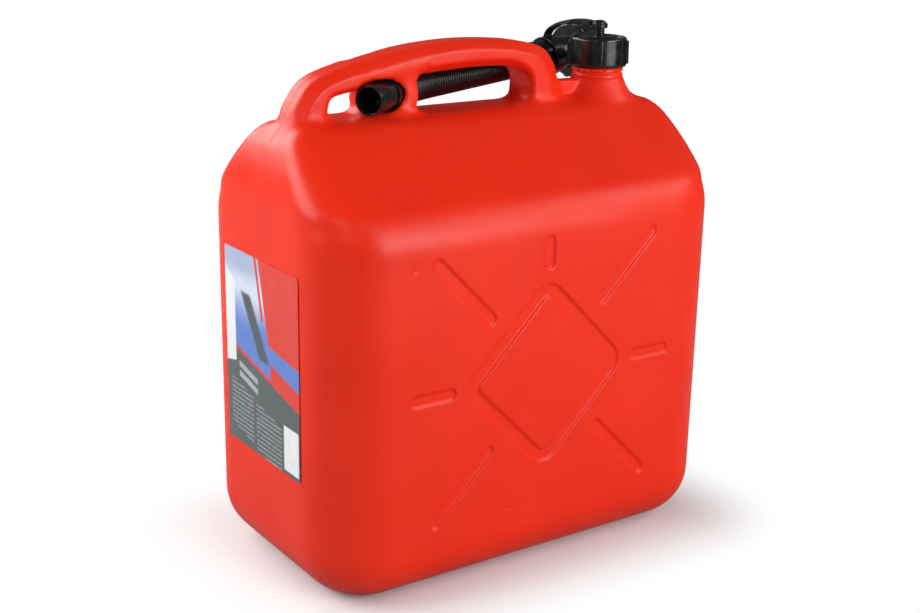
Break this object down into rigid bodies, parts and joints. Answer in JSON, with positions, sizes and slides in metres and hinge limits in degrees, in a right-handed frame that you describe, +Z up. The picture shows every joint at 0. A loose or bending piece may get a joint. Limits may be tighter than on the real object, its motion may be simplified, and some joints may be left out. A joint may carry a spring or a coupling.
{
  "type": "fuel can",
  "caption": "Upright plastic fuel can with a hollow carrying handle, a tethered screw cap and a flexible pouring spout stored through the handle.",
  "frame": {"origin": "on the ground under the middle of the can's body", "axes": "+Z up; +X along the body from the label's end towards the neck; the two embossed faces look along -Y and +Y"},
  "size_m": [0.3546, 0.21, 0.3949],
  "materials": {
    "can": "satin",
    "fittings": "gloss",
    "seal": "matt",
    "label": "printed film"
  },
  "bodies": {
    "can": {"can_body": "can", "label": "label", "cap_strap": "fittings"},
    "seal": {"cap_gasket": "seal"},
    "cap": {"cap_shell": "fittings"},
    "spout": {"spout_sleeve": "fittings", "spout_gasket": "seal", "spout_hose": "fittings", "spout_nozzle": "fittings"},
    "nut": {"spout_nut": "fittings"}
  },
  "joints": [
    {"name": "cap_lift", "type": "slide", "parent": "can", "child": "seal", "axis": [0, 0, 1], "range_m": [0, 0.0075]},
    {"name": "cap_turn", "type": "hinge", "parent": "seal", "child": "cap", "pos_m": [0.123, 0, 0.37], "axis": [0, 0, 1], "range_deg": [0, 600]},
    {"name": "spout_draw", "type": "slide", "parent": "can", "child": "spout", "axis": [0.8478, 0.5297, 0.0262], "range_m": [0, 0.04], "deforming": ["cap_strap"]},
    {"name": "nut_spin", "type": "hinge", "parent": "spout", "child": "nut", "pos_m": [0.142, 0.0519, 0.36501], "axis": [0.9794, 0.1904, 0.068], "continuous": true}
  ],
  "couplings": [
    {"joint": "cap_turn", "follows": "cap_lift", "rad_per_m": 1396.3}
  ]
}
